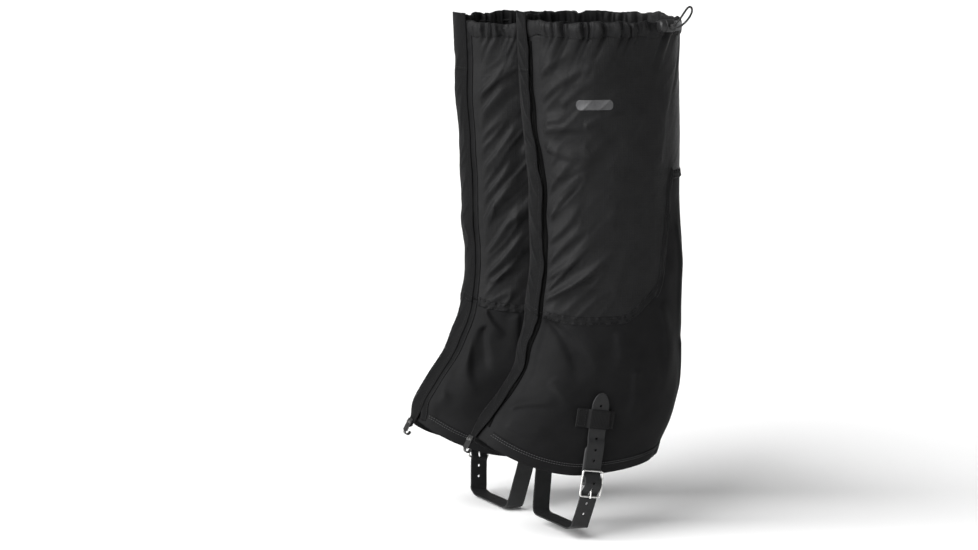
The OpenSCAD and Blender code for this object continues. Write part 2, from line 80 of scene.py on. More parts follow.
# ---------------------------------------------------------------- camera
AZ, EL = math.radians(-25), math.radians(8)
TOWARD = Vector((math.sin(AZ) * math.cos(EL), -math.cos(AZ) * math.cos(EL), math.sin(EL)))
ACROSS = Vector((math.cos(AZ), math.sin(AZ), 0))
AIM = ACROSS * -0.071 + Vector((0, 0, 0.250))
DISTANCE = 3.1
cam_data = bpy.data.cameras.new("Camera")
cam_data.lens = 114
cam_data.sensor_width = 36
cam_data.clip_end = 200
cam = bpy.data.objects.new("Camera", cam_data)
cam.location = AIM + TOWARD * DISTANCE
cam.rotation_euler = (-TOWARD).to_track_quat("-Z", "Y").to_euler()
bpy.context.collection.objects.link(cam)
bpy.context.scene.camera = cam


# ---------------------------------------------------------------- materials
def new_material(name, color, rough, metallic=0.0, spec=0.5, sheen=0.0, coat=0.0):
    m = bpy.data.materials.new(name)
    m.use_nodes = True
    b = m.node_tree.nodes["Principled BSDF"]
    b.inputs["Base Color"].default_value = (*color, 1)
    b.inputs["Roughness"].default_value = rough
    b.inputs["Metallic"].default_value = metallic
    b.inputs["Specular IOR Level"].default_value = spec
    b.inputs["Sheen Weight"].default_value = sheen
    b.inputs["Sheen Roughness"].default_value = 0.45
    b.inputs["Coat Weight"].default_value = coat
    return m, b


def node(m, kind, **inputs):
    n = m.node_tree.nodes.new(kind)
    for k, v in inputs.items():
        n.inputs[k.replace("_", " ")].default_value = v
    return n


def link(m, a, b):
    m.node_tree.links.new(a, b)


def math_node(m, op, a, b):
    n = node(m, "ShaderNodeMath")
    n.operation = op
    for i, v in enumerate((a, b)):
        if isinstance(v, (int, float)):
            n.inputs[i].default_value = v
        else:
            link(m, v, n.inputs[i])
    return n.outputs[0]


def ramp(m, value, low, high, out_low, out_high):
    n = node(m, "ShaderNodeMapRange", From_Min=low, From_Max=high, To_Min=out_low, To_Max=out_high)
    link(m, value, n.inputs["Value"])
    return n.outputs[0]


def tint(m, b, value, color, low, high):
    """Base colour that runs from color*low to color*high with value."""
    n = node(m, "ShaderNodeMix")
    n.data_type = "RGBA"
    n.inputs["A"].default_value = (*[c * low for c in color], 1)
    n.inputs["B"].default_value = (*[min(1, c * high) for c in color], 1)
    link(m, value, n.inputs["Factor"])
    link(m, n.outputs["Result"], b.inputs["Base Color"])


def noise_at(m, coord, scale, detail=3.0, rough=0.55):
    n = node(m, "ShaderNodeTexNoise", Scale=scale, Detail=detail, Roughness=rough)
    link(m, coord, n.inputs["Vector"])
    return n.outputs["Fac"]


def lines(m, coord, axis, pitch_mm, width):
    """1 on thin lines pitch_mm apart across that axis, 0 between them. Coordinates are in millimetres."""
    s = node(m, "ShaderNodeSeparateXYZ")
    link(m, coord, s.inputs[0])
    f = math_node(m, "FRACT", math_node(m, "DIVIDE", s.outputs[axis], pitch_mm), 0.0)
    d = math_node(m, "ABSOLUTE", math_node(m, "SUBTRACT", f, 0.5), 0.0)
    return ramp(m, d, 0.0, width, 1.0, 0.0)


def ribs(m, coord, axis, pitch_mm):
    """A rounded rib profile from 0 to 1 across that axis."""
    s = node(m, "ShaderNodeSeparateXYZ")
    link(m, coord, s.inputs[0])
    w = math_node(m, "SINE", math_node(m, "MULTIPLY", s.outputs[axis], 2 * math.pi / pitch_mm), 0.0)
    return math_node(m, "ADD", math_node(m, "MULTIPLY", w, 0.5), 0.5)


def bump(m, b, height, distance, strength=1.0):
    n = node(m, "ShaderNodeBump", Strength=strength, Distance=distance)
    link(m, height, n.inputs["Height"])
    link(m, n.outputs["Normal"], b.inputs["Normal"])


def coords(m, kind):
    """Texture coordinates in millimetres."""
    n = node(m, "ShaderNodeTexCoord")
    s = node(m, "ShaderNodeVectorMath")
    s.operation = "SCALE"
    s.inputs["Scale"].default_value = 1 / MM
    link(m, n.outputs[kind], s.inputs[0])
    return s.outputs[0]


def fabric(name, color, rough, weave, spec, sheen, grid=0.0, crumple=0.0, twill=0.0):
    """Woven cloth. In mm, weave is the thread pitch, grid the ripstop's and twill the twill line's.
    crumple is the depth of the small creases."""
    m, b = new_material(name, color, rough, spec=spec, sheen=sheen)
    c = coords(m, "UV")
    warp, weft = ribs(m, c, 0, weave), ribs(m, c, 1, weave)
    height = math_node(m, "MULTIPLY", math_node(m, "MULTIPLY", warp, weft), 0.25)
    blotch = noise_at(m, c, 0.05, 4.0)
    fine = noise_at(m, c, 0.9, 2.0)
    if twill:
        height = math_node(m, "ADD", height, math_node(m, "MULTIPLY", ribs(m, c, 1, twill), 0.6))
    if grid:
        cross = math_node(m, "MAXIMUM", lines(m, c, 0, grid, 0.09), lines(m, c, 1, grid, 0.09))
        height = math_node(m, "ADD", height, math_node(m, "MULTIPLY", cross, 0.5))
    if crumple:
        height = math_node(m, "ADD", height, math_node(m, "MULTIPLY", noise_at(m, c, 0.11, 3.0), crumple))
    height = math_node(m, "ADD", height, math_node(m, "MULTIPLY", fine, 0.35))
    bump(m, b, height, 0.0002, 0.8)
    tint(m, b, blotch, color, 0.72, 1.35)
    link(m, ramp(m, fine, 0.3, 0.7, rough - 0.05, rough + 0.07), b.inputs["Roughness"])
    return m


def plain(name, color, rough, metallic=0.0, spec=0.5, coat=0.0, grain=0.5, depth=0.00008, wear=0.1):
    """Moulded plastic, coated webbing or metal, with grain (in mm) and slightly worn patches."""
    m, b = new_material(name, color, rough, metallic, spec, coat=coat)
    c = coords(m, "Object")
    fine, broad = noise_at(m, c, 1 / grain, 3.0), noise_at(m, c, 0.12, 4.0)
    bump(m, b, fine, depth, 0.6)
    tint(m, b, broad, color, 0.8, 1.25)
    link(m, ramp(m, broad, 0.25, 0.75, rough - wear / 2, rough + wear), b.inputs["Roughness"])
    return m


def pile(name, color, cell, rough):
    """Hook or loop tape: a close field of small bumps. Its colour carries painted shade: lighter on each
    bump's top and darker in the hollows between bumps.
    """
    m, b = new_material(name, color, rough, spec=0.08, sheen=0.02)
    c = coords(m, "UV")
    v = node(m, "ShaderNodeTexVoronoi", Scale=1 / cell)
    link(m, c, v.inputs["Vector"])
    bump(m, b, math_node(m, "SUBTRACT", 1.0, v.outputs["Distance"]), 0.0005, 1.0)
    # painted shade: the base colour is lighter where each bump stands high and darker in the hollows between
    # bumps
    tint(m, b, v.outputs["Distance"], color, 1.5, 0.5)
    return m


RIPSTOP = fabric("ripstop", (0.0122, 0.0122, 0.0125), 0.36, 0.42, 0.05, 0.0, grid=5.2, crumple=2.2)
PACK = fabric("pack_cloth", (0.0080, 0.0080, 0.0083), 0.62, 0.8, 0.05, 0.01, crumple=0.7)
BAND = fabric("band_cloth", (0.0092, 0.0092, 0.0095), 0.55, 0.7, 0.05, 0.0, crumple=1.2)
STRIP = fabric("strip_webbing", (0.0045, 0.0045, 0.0047), 0.6, 0.7, 0.05, 0.01, twill=1.4)
KEEPER = fabric("keeper_webbing", (0.0086, 0.0086, 0.0088), 0.62, 0.9, 0.07, 0.02, twill=1.6)
TAB = fabric("tab_webbing", (0.05, 0.05, 0.051), 0.6, 0.8, 0.3, 0.1, twill=1.2)
ELASTIC = fabric("elastic", (0.007, 0.007, 0.0072), 0.7, 0.9, 0.14, 0.06, twill=1.8)
CORD = fabric("cord", (0.008, 0.008, 0.008), 0.6, 0.7, 0.3, 0.1, twill=0.9)
THREAD = fabric("thread", (0.0075, 0.0075, 0.0078), 0.6, 0.3, 0.2, 0.03)
THREAD_LIGHT = fabric("thread_light", (0.05, 0.05, 0.051), 0.55, 0.3, 0.3, 0.05)
# The loop tape is near black. Where it shows past the flap's free edge, the band is partly the tape itself
# and partly painted shade standing in for the gap beside that edge.
LOOP_PILE_AND_GAP_SHADE = pile("loop_pile_and_gap_shade", (0.0018, 0.0018, 0.0018), 0.5, 0.95)
HOOK_PILE = pile("hook_pile", (0.007, 0.007, 0.007), 0.9, 0.7)
MARK = fabric("mark_film", (0.054, 0.054, 0.056), 0.5, 0.42, 0.3, 0.0, grid=5.2)
COATED = plain("coated_strap", (0.016, 0.0162, 0.0166), 0.45, spec=0.16, grain=0.5, depth=0.00006)
DARK = plain("dark_plastic", (0.014, 0.014, 0.0144), 0.36, spec=0.28, grain=0.3, depth=0.00004)
GREY = plain("grey_plastic", (0.09, 0.09, 0.092), 0.42, spec=0.4, grain=0.3, depth=0.00004)
BLACK_METAL = plain("black_metal", (0.012, 0.012, 0.012), 0.35, spec=0.5, coat=0.3, grain=0.4, depth=0.00003)
STEEL = plain("steel", (0.62, 0.615, 0.60), 0.24, metallic=1.0, grain=0.6, depth=0.00002, wear=0.14)


# ---------------------------------------------------------------- mesh helpers
def unit(v):
    return v / np.linalg.norm(v, axis=1)[:, None]


def run_along(path):
    """The length of the path up to each of its points."""
    return np.concatenate([[0], np.cumsum(np.linalg.norm(np.diff(path, axis=0), axis=1))])


def turns(count):
    """Angles of count points, evenly round a circle."""
    return np.arange(count) * 2 * math.pi / count


def finish_piece(ob, side, body="gaiter", stands_for=(), slot=None):
    """Says what a piece rides and which CAD nodes it stands for. Both are named without the side."""
    if body:
        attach(ob, f"{side}_{body}")
    if stands_for:
        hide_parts(*[f"{side}_{n}" for n in stands_for])


def add(name, verts, faces, mat, uvs=None, sharp=55):
    me = bpy.data.meshes.new(name)
    me.from_pydata(np.asarray(verts, float).tolist(), [], faces)
    if uvs is not None:
        layer = me.uv_layers.new(name="UVMap")
        index = np.empty(len(me.loops), np.int32)
        me.loops.foreach_get("vertex_index", index)
        layer.data.foreach_set("uv", np.asarray(uvs, np.float32)[index].ravel())
    bm = bmesh.new()
    bm.from_mesh(me)
    bmesh.ops.recalc_face_normals(bm, faces=bm.faces)
    bm.to_mesh(me)
    bm.free()
    me.shade_smooth()
    me.set_sharp_from_angle(angle=math.radians(sharp))
    ob = bpy.data.objects.new(name, me)
    bpy.context.collection.objects.link(ob)
    me.materials.append(mat)
    return ob


def add_finished(name, side, verts, faces, mat, uvs, sharp=55, **kw):
    ob = add(f"{side}_{name}", place(side, verts), faces, mat, uvs, sharp)
    finish_piece(ob, side, **kw)
    return ob


def grid_faces(nr, nc):
    n = nr * nc
    g = np.arange(n).reshape(nr, nc)
    top = np.stack([g[:-1, :-1], g[:-1, 1:], g[1:, 1:], g[1:, :-1]], -1).reshape(-1, 4)
    ring = np.concatenate([g[0, :], g[1:, -1], g[-1, -2::-1], g[-2:0:-1, 0]])
    after = np.roll(ring, -1)
    rim = np.stack([ring, ring + n, after + n, after], -1)
    return np.concatenate([top, top[:, ::-1] + n, rim]).tolist()


def cloth(name, side, outer, inner, u, v, mat, **kw):
    """A closed sheet from two grids of points, with u and v in millimetres as its texture coordinates."""
    nr, nc = outer.shape[:2]
    verts = np.concatenate([outer.reshape(-1, 3), inner.reshape(-1, 3)])
    uv = np.stack([u.ravel(), v.ravel()], -1) * MM
    return add_finished(name, side, verts, grid_faces(nr, nc), mat, np.concatenate([uv, uv]), 180, **kw)


def frames_along(path):
    """Two directions across the path at each point, carried along it without twist."""
    t = unit(np.gradient(path, axis=0))
    s = np.cross(t[0], [0.31, 0.2, 0.93])
    s /= np.linalg.norm(s)
    across = []
    for d in t:
        s = s - (s @ d) * d
        s = s / np.linalg.norm(s)
        across.append(s.copy())
    across = np.array(across)
    return across, np.cross(t, across)


def tube(name, side, path, r, mat, sides=12, **kw):
    path = np.asarray(path, float)
    s, w = frames_along(path)
    k = turns(sides)
    ring = path[:, None] + r * (np.cos(k)[None, :, None] * s[:, None] + np.sin(k)[None, :, None] * w[:, None])
    n = len(path)
    g = np.arange(n * sides).reshape(n, sides)
    a, b = g[:-1], np.roll(g, -1, 1)[:-1]
    c, d = np.roll(g, -1, 1)[1:], g[1:]
    faces = np.stack([a, b, c, d], -1).reshape(-1, 4).tolist()
    faces += [g[0, ::-1].tolist(), g[-1].tolist()]
    uv = np.stack([np.tile(k * r, n), np.repeat(run_along(path), sides)], -1) * MM
    return add_finished(name, side, ring.reshape(-1, 3), faces, mat, uv, **kw)


def spline(points, per):
    """A Catmull-Rom line through rows of numbers, with per points in each span."""
    p = np.array(points, float)
    p = np.vstack([2 * p[0] - p[1], p, 2 * p[-1] - p[-2]])
    out = []
    for i in range(1, len(p) - 2):
        for t in np.arange(per) / per:
            a, b, c, d = p[i - 1 : i + 3]
            out.append(0.5 * (2 * b + (c - a) * t + (2 * a - 5 * b + 4 * c - d) * t * t
                              + (3 * b - a - 3 * c + d) * t ** 3))
    out.append(p[-2])
    return np.array(out)


def resample(path, normals, pitch):
    run = run_along(path)
    at = np.arange(pitch / 2, run[-1], pitch)
    pick = lambda q: np.stack([np.interp(at, run, q[:, i]) for i in range(3)], -1)
    return pick(path), unit(pick(normals))


def stitches(name, side, runs, pitch, length, r, mat, **kw):
    """Raised thread stitches along each run of (points, normals)."""
    verts, faces = [], []
    ends = np.array([-1, -0.62, 0.62, 1]) * length / 2
    girth = np.array([0.3, 1, 1, 0.3]) * r
    sink = np.array([-0.5, 0.1, 0.1, -0.5]) * r
    k = turns(5)
    for path, normals in runs:
        p, n = resample(np.asarray(path, float), np.asarray(normals, float), pitch)
        if len(p) < 2:
            continue
        t = unit(np.gradient(p, axis=0))
        s = np.cross(t, n)
        for i in range(len(p)):
            base = len(verts)
            for e, g, h in zip(ends, girth, sink):
                for w in k:
                    verts.append(p[i] + e * t[i] + n[i] * (h + g * math.sin(w)) + s[i] * g * math.cos(w))
            for a in range(3):
                for b in range(5):
                    q, z = base + 5 * a + b, base + 5 * a + (b + 1) % 5
                    faces.append([q, z, z + 5, q + 5])
            faces.append([base + b for b in range(4, -1, -1)])
            faces.append([base + 15 + b for b in range(5)])
    verts = np.array(verts)
    uv = np.stack([verts[:, 0] + verts[:, 1], verts[:, 2]], -1) * MM
    return add_finished(name, side, verts, faces, mat, uv, 80, **kw)


def lathe(name, side, origin, profile, mat, around=48, cutters=(), **kw):
    """A turned piece about X: profile is (x, radius) from axis to axis."""
    pts, faces = [], []
    k = turns(around)
    rows = []
    for x, r in profile:
        if r == 0:
            rows.append([len(pts)])
            pts.append([x, 0, 0])
        else:
            rows.append(list(range(len(pts), len(pts) + around)))
            pts += [[x, r * math.cos(w), r * math.sin(w)] for w in k]
    for a, b in zip(rows, rows[1:]):
        for i in range(around):
            j = (i + 1) % around
            if len(a) == 1:
                faces.append([a[0], b[i], b[j]])
            elif len(b) == 1:
                faces.append([a[i], a[j], b[0]])
            else:
                faces.append([a[i], a[j], b[j], b[i]])
    ob = add(f"{side}_{name}", place(side, np.array(pts) + np.array(origin)), faces, mat, sharp=35)
    cut(ob, cutters)
    finish_piece(ob, side, **kw)


def cut(ob, cutters):
    """Takes each cutter out of ob, applied, and deletes the cutters."""
    for c in cutters:
        mod = ob.modifiers.new("cut", "BOOLEAN")
        mod.object = c
        mod.operation = "DIFFERENCE"
        mod.solver = "EXACT"
    if cutters:
        bpy.context.view_layer.update()
        dg = bpy.context.evaluated_depsgraph_get()
        me = bpy.data.meshes.new_from_object(ob.evaluated_get(dg))
        ob.modifiers.clear()
        ob.data = me
        me.shade_smooth()
        me.set_sharp_from_angle(angle=math.radians(35))
        for c in cutters:
            bpy.data.objects.remove(c)


def cutter(side, origin, matrix, rx, rz, half, around=24):
    """A cylinder of oval section, rx by rz, along the local Y, to be cut out of a piece."""
    k = turns(around)
    ring = np.stack([rx * np.cos(k), 0 * k, rz * np.sin(k)], -1)
    p = np.vstack([ring - [0, half, 0], ring + [0, half, 0]]) @ matrix.T + np.array(origin)
    g = np.arange(around)
    after = np.roll(g, -1)
    faces = np.stack([g, after, after + around, g + around], -1).tolist()
    faces += [g[::-1].tolist(), (g + around).tolist()]
    return add("cutter", place(side, p), faces, DARK)


# ---------------------------------------------------------------- the leg's outline
RIM, CASING_H = 507.0, 17.0
CASING_Z = RIM - CASING_H
LEG_X = 42.0
FRONT = ((50, 150), (80, 143), (93, 136), (110, 126), (130, 112), (160, 90), (200, 76), (250, 71),
         (350, 73), (410, 80), (460, 84), (515, 87))
BACK = ((50, 58), (70, 68), (100, 85), (130, 90), (160, 91), (250, 92), (350, 88), (460, 86), (515, 84))
HALF = ((50, 50), (100, 50), (130, 48.5), (200, 48), (250, 50), (350, 54), (410, 56), (515, 57))


def reach(table, h):
    """The table's value at height h, smoothed over 20 mm."""
    xs, ys = zip(*table)
    return sum(np.interp(h + d, xs, ys) for d in (-10, -5, 0, 5, 10)) / 5


def outline(a, h, out):
    """Points at angle a round the leg (0 at the heel, 90 outer side, 180 toes), height h, out mm outwards."""
    a, h, out = np.broadcast_arrays(*[np.asarray(v, float) for v in (a, h, out)])
    front, back, half = reach(FRONT, h), reach(BACK, h), reach(HALF, h)
    mid, long = (back - front) / 2, (back + front) / 2
    c, s = np.cos(np.radians(a)), np.sin(np.radians(a))
    nx, ny = c / long, s / half
    n = np.hypot(nx, ny)
    return np.stack([LEG_X + mid + long * c + out * nx / n, -half * s - out * ny / n, h], -1)


def outward(a, h):
    return outline(a, h, 1.0) - outline(a, h, 0.0)


def ease(t):
    t = np.clip(t, 0, 1)
    return t * t * (3 - 2 * t)


def fold_angle(a):
    w = (np.asarray(a, float) + 360) % 360
    return np.where(w > 180, 360 - w, w)


def hem_z(a):
    f = fold_angle(a)
    return 55 + 38 * ease((f - 85) / 95) + 11 * (np.maximum(0, 85 - f) / 85) ** 2


def seam_z(a):
    f = fold_angle(a)
    return (208 + 34 * ease((96 - f) / 42) + 108 * ease((66 - f) / 22)
            + 14 * (np.maximum(0, f - 110) / 70) ** 2)


# Distance round an ellipse about the size of the gaiter, for each angle
LONG_R, WIDE_R, ANG_STEP = 80, 53, 0.25
ANG = np.linspace(-210, 210, 1681)
SPEED = np.hypot(LONG_R * np.sin(np.radians(ANG[1:])), WIDE_R * np.cos(np.radians(ANG[1:])))
ARC = np.concatenate([[0], np.cumsum(SPEED * math.radians(ANG_STEP))])
ARC -= np.interp(0, ANG, ARC)


def arc(a):
    return np.interp(a, ANG, ARC)


# ---------------------------------------------------------------- folds and puckers
rng = np.random.default_rng(20)
LATTICE = rng.random((64, 64)) * 2 - 1


def value_noise(x, y):
    x, y = np.broadcast_arrays(np.asarray(x, float), np.asarray(y, float))
    i, j = np.floor(x).astype(int), np.floor(y).astype(int)
    f, g = ease(x - i), ease(y - j)
    at = lambda p, q: LATTICE[p % 64, q % 64]
    low = at(i, j) * (1 - f) + at(i + 1, j) * f
    high = at(i, j + 1) * (1 - f) + at(i + 1, j + 1) * f
    return low * (1 - g) + high * g


def crease(u, z, stroke):
    """A fold from (a0, z0) to (a1, z1): a crest with one steep side, w wide, amp high and bowed by bow."""
    a0, z0, a1, z1, w, amp, bow = stroke
    u0, u1 = arc(a0), arc(a1)
    du, dz = u1 - u0, z1 - z0
    run = math.hypot(du, dz)
    t = ((u - u0) * du + (z - z0) * dz) / run ** 2
    d = ((u - u0) * dz - (z - z0) * du) / run
    d = d - bow * 4 * np.clip(t, 0, 1) * (1 - np.clip(t, 0, 1))
    wide = w * (0.55 + 0.75 * np.clip(t, 0, 1))
    shape = np.where(d < 0, np.exp(-(d / (0.5 * wide)) ** 2), np.exp(-(d / (1.35 * wide)) ** 2))
    taper = ease(t / 0.1 + 0.3) * ease((1 - t) / 0.45 + 0.05)
    return amp * shape * taper * (t > -0.1) * (t < 1.05)


# Folds as (start angle, start height, end angle, end height, width, amplitude, bow).
# Positive angles are on the outer side.
UPPER_FOLDS = (
    (165, 226, 110, 296, 3.2, 2.5, 3), (164, 224, 92, 290, 4.2, 2.8, -3), (150, 232, 106, 264, 3.6, 2.2, 1),
    (161, 246, 128, 270, 4.0, 2.0, 2), (160, 262, 116, 306, 5.0, 2.6, 4),
    (161, 284, 124, 334, 6.0, 2.6, -4), (157, 308, 114, 364, 5.0, 2.3, 5),
    (163, 330, 124, 378, 5.5, 2.4, 3), (150, 350, 102, 392, 8.0, 2.2, -5),
    (168, 401, 132, 411, 4.0, 2.8, 2), (169, 394, 108, 399, 7.0, 3.4, 5),
    (167, 386, 118, 370, 6.0, 2.6, -4), (122, 402, 90, 414, 4.0, 1.9, 3), (161, 424, 110, 464, 5.0, 2.5, 5),
    (165, 444, 130, 476, 4.0, 2.2, 2), (140, 422, 98, 458, 7.0, 2.0, 4), (104, 300, 90, 366, 9.0, 0.9, 3),
    (100, 232, 82, 290, 8.0, 0.9, 5), (62, 360, 44, 460, 12.0, 0.6, 3), (92, 380, 78, 430, 10.0, 0.8, -3),
    (135, 240, 88, 252, 6.0, 1.6, -2), (-166, 232, -116, 300, 3.6, 2.7, 4),
    (-167, 254, -120, 326, 4.2, 2.6, 4), (-165, 280, -118, 356, 5.0, 2.8, -3),
    (-167, 312, -124, 374, 4.5, 2.5, 4), (-165, 344, -118, 414, 5.5, 2.7, 5),
    (-167, 384, -124, 446, 5.0, 2.5, -4), (-163, 424, -124, 474, 4.5, 2.3, 3),
    (-150, 236, -124, 262, 3.5, 2.2, 2), (-130, 300, -96, 356, 7.0, 1.8, 4),
    (-120, 370, -84, 430, 7.0, 1.8, -4), (-110, 240, -70, 290, 7.0, 1.7, 4),
    (-70, 350, -46, 450, 8.0, 1.6, 3),
)
LOWER_FOLDS = (
    (160, 214, 112, 140, 10.0, -2.6, 8), (152, 212, 100, 150, 9.0, 1.8, 8),
    (156, 124, 116, 128, 8.0, 2.4, 3), (150, 108, 112, 94, 7.0, 1.6, -2), (78, 156, 71, 100, 9.0, 2.2, 2),
    (96, 196, 90, 150, 12.0, 1.4, 3), (60, 220, 44, 120, 10.0, 1.8, 4), (40, 300, 26, 170, 9.0, 1.5, 2),
    (24, 180, 8, 110, 9.0, 1.4, 3), (136, 150, 110, 118, 8.0, 1.6, 3), (-163, 206, -126, 118, 5.0, 3.2, 9),
    (-150, 208, -126, 180, 5.0, 2.6, 4), (-148, 190, -128, 138, 8.0, -3.0, 4),
    (-169, 198, -156, 116, 6.0, 2.4, 3), (-122, 204, -108, 130, 9.0, 1.9, 3),
    (-165, 140, -140, 112, 6.0, 2.2, 3), (-84, 200, -70, 110, 10.0, 1.8, 4),
    (-56, 240, -40, 130, 10.0, 1.8, 4), (-30, 300, -20, 170, 9.0, 1.5, 2),
)
KEEPER_A, KEEPER_Z, STRAP_Z = 93.0, 112.0, 78
UPPER_GAIN, LOWER_GAIN = 1.35, 1.25
GATHER, SPREAD = 2.7, 3.0


def shift_of(side):
    return 0.0 if side == "left" else 23.7


def billow(side, u):
    """Gathered cloth: round swells with sharp valleys between them, from about -0.7 to 1.3."""
    k = shift_of(side)
    uneven = u + 5.0 * value_noise(u / 21 + k, 1.9)
    round_part = 2 * np.abs(value_noise(uneven / 8.5 + k, 3.3 + k)) ** 0.75 - 0.6
    return round_part + 0.5 * value_noise(u / 3.2 + k, 9.1)


def rim_wave(side, u):
    """How far the casing's stitch line wanders up and down."""
    return 2.6 * value_noise(u / 12 + shift_of(side), 12.4) + 0.9 * value_noise(u / 4.5, 15.2)


def near_strip(a):
    """0 under the front strip and its tapes, 1 away from them."""
    f = np.asarray(a, float)
    return ease((161 - f) / 8) * ease((f + 157) / 8)


def upper_relief(side, a, z):
    a, z = np.broadcast_arrays(np.asarray(a, float), np.asarray(z, float))
    u, k = arc(a), shift_of(side)
    top, bottom = CASING_Z - z, z - seam_z(a)
    d = UPPER_GAIN * sum(crease(u, z, s) for s in UPPER_FOLDS)
    flow = np.where(a > 0, 1.0, -1.0)
    along, over = (z - flow * u) / 1.414, (z + flow * u) / 1.414
    n = value_noise(along / 58 + k, over / 13 + 5.5 + k)
    m = value_noise(along / 30 + 9 + k, over / 6.5 + 2.5)
    front = 0.10 + 0.90 * ease((np.abs(a) - 74) / 50)
    d = d + front * (2.2 * (1 - np.abs(n)) ** 4 + 0.7 * (1 - np.abs(m)) ** 4 - 0.7)
    d = d + 1.5 * value_noise(u / 42 + k, z / 64 + 1.7) * ease(bottom / 40)
    d = d * ease(top / 30 + 0.15)
    slant = u - 0.45 * flow * np.maximum(top, 0)
    spread = 2 * np.abs(value_noise(slant / 13 + k, 6.6)) - 0.6
    calm = 0.55 + 0.45 * ease((np.abs(a) - 62) / 40)
    below = np.maximum(top, 0)
    d = (d + calm * GATHER * billow(side, slant) * np.exp(-below / 11)
         + calm * SPREAD * spread * np.exp(-below / 30))
    d = d * ease(bottom / 7 + 0.12)
    return d * near_strip(a)


def lower_relief(side, a, z):
    a, z = np.broadcast_arrays(np.asarray(a, float), np.asarray(z, float))
    u, k = arc(a), shift_of(side)
    top, bottom = seam_z(a) - z, z - hem_z(a)
    d = LOWER_GAIN * sum(crease(u, z, s) for s in LOWER_FOLDS)
    d = d + 1.3 * value_noise(u / 38 + k, z / 46 + 4.2) + 0.5 * value_noise(u / 15 + k, z / 22 + 1.1)
    d = d * ease(bottom / 16 + 0.1) * ease(top / 8 + 0.1)
    puckers = value_noise(u / 2.6 + k, 7.7) * 1.3 + 1.0 * value_noise(u / 5.0, 2.2)
    d = d + puckers * ease((34 - np.abs(a)) / 12) * np.exp(-np.maximum(bottom, 0) / 16)
    guard = ((u - arc(KEEPER_A)) / 25) ** 4 + ((z - KEEPER_Z) / 30) ** 4
    strap = ((u - arc(KEEPER_A)) / 20) ** 4 + ((z - STRAP_Z) / 30) ** 4
    d = d * (1 - np.exp(-guard)) * (1 - np.exp(-strap))
    return d * near_strip(a)


def relief(side, a, z):
    return np.where(np.asarray(z) >= seam_z(a), upper_relief(side, a, z), lower_relief(side, a, z))


# ---------------------------------------------------------------- drawcord and its free loop
CORD_Z = RIM - 7
CORD_R = 1.0
LOOP = ((89, -48.2, 1.1), (89, -58, 1.1), (89, -68, 1.1), (89, -70.5, 1.4), (90, -73.5, 3), (92, -76, 6.5),
        (94.5, -77.5, 11), (97.5, -77.5, 15), (101, -77, 18.5), (104.3, -76.5, 19), (106, -76, 16.5),
        (105.4, -75.8, 12.5), (102.6, -75.6, 8), (98.6, -75.2, 3.6), (94.2, -74.4, 0.4), (90.8, -72.8, -1),
        (89, -70.5, -1.1), (89, -66, -1.1), (89, -58, -1.1), (89, -48.2, -1.1))
for side in SIDES:
    way = 1 if side == "left" else -1
    route = spline([(x, y, CORD_Z + way * z) for x, y, z in LOOP], 4)
    loop = tube("cord_loop", side, route, CORD_R, CORD,
                stands_for=["drawcord_loop"], slot="cord")
    points = place(side, route)
    outer = outline(np.arange(171, 58, -3.5), CORD_Z + 1.1, -1.2)
    inner = outline(np.arange(-170, 50, 3.5), CORD_Z - 1.1, -1.2)
    for tag, run, dz in (("a", outer, 1.1), ("b", inner, -1.1)):
        path = spline(np.vstack([run, [(89, -47, CORD_Z + dz)]]), 2)
        tube(f"drawcord_{tag}", side, path, CORD_R, CORD,
             stands_for=["drawcord"] if tag == "a" else (), slot="cord")


# ---------------------------------------------------------------- panels, casing and bands
A0, A1 = -176.0, 178.0
THICK = 0.9


def level(z):
    return lambda a: z + 0 * np.asarray(a)


def rows_between(low, high, t):
    return low[None, :] + (high - low)[None, :] * t[:, None]


def panel(side, name, low, high, step_a, count, mat, node_name, slot):
    a = np.linspace(A0, A1, int((A1 - A0) / step_a))
    z = rows_between(low(a), high(a), np.linspace(0, 1, count))
    aa = np.broadcast_to(a, z.shape)
    d = relief(side, aa, np.minimum(z, seam_z(aa) - 1e-6)) if name == "lower" else upper_relief(side, aa, z)
    return cloth(f"{name}_cloth", side, outline(aa, z, d), outline(aa, z, d - THICK), arc(aa), z, mat,
                 stands_for=[node_name], slot=slot)


def band_on(side, name, a, low, high, across, base, crown, mat, node_name, slot,
            pucker=0.0, ruck=3.0, sunk=0.3):
    """A flat band laid on the panels between two heights, with rounded edges and small puckers.
    Also returns a function for the line at a share of its width, lifted off it."""
    t = np.linspace(0, 1, across)
    z = rows_between(low, high, t)
    aa = np.broadcast_to(a, z.shape)
    tt = np.broadcast_to(t[:, None], z.shape)
    u = arc(aa)
    rise = crown * np.minimum(1, (np.sin(math.pi * tt) / 0.5)) ** 0.5
    rows = np.exp(-((tt - 0.22) / 0.09) ** 2) + np.exp(-((tt - 0.78) / 0.09) ** 2)
    rise = rise - 0.28 * rows * crown / 0.8
    rise = rise + pucker * value_noise(u / ruck + shift_of(side), 8.8 + 1.5 * tt) * (0.35 + rows)
    d = relief(side, aa, z) + base

    def line_at(share, lift):
        h = low + (high - low) * share
        return outline(a, h, relief(side, a, h) + base + lift), outward(a, h)

    band = cloth(name, side, outline(aa, z, d + rise), outline(aa, z, d - sunk), u, z, mat,
                 stands_for=[node_name], slot=slot)
    return band, line_at


# The tunnel's section as (mm outwards, share of its height)
CASING_SECTION = (
    (0.5, 0), (0.8, 0.06), (1.4, 0.2), (1.9, 0.4), (2.0, 0.6), (1.6, 0.8), (0.8, 0.93), (-0.3, 1.0),
    (-1.8, 1.0), (-2.8, 0.93), (-3.5, 0.8), (-3.7, 0.6), (-3.6, 0.4), (-3.2, 0.2), (-2.3, 0.06), (-1.9, 0),
)


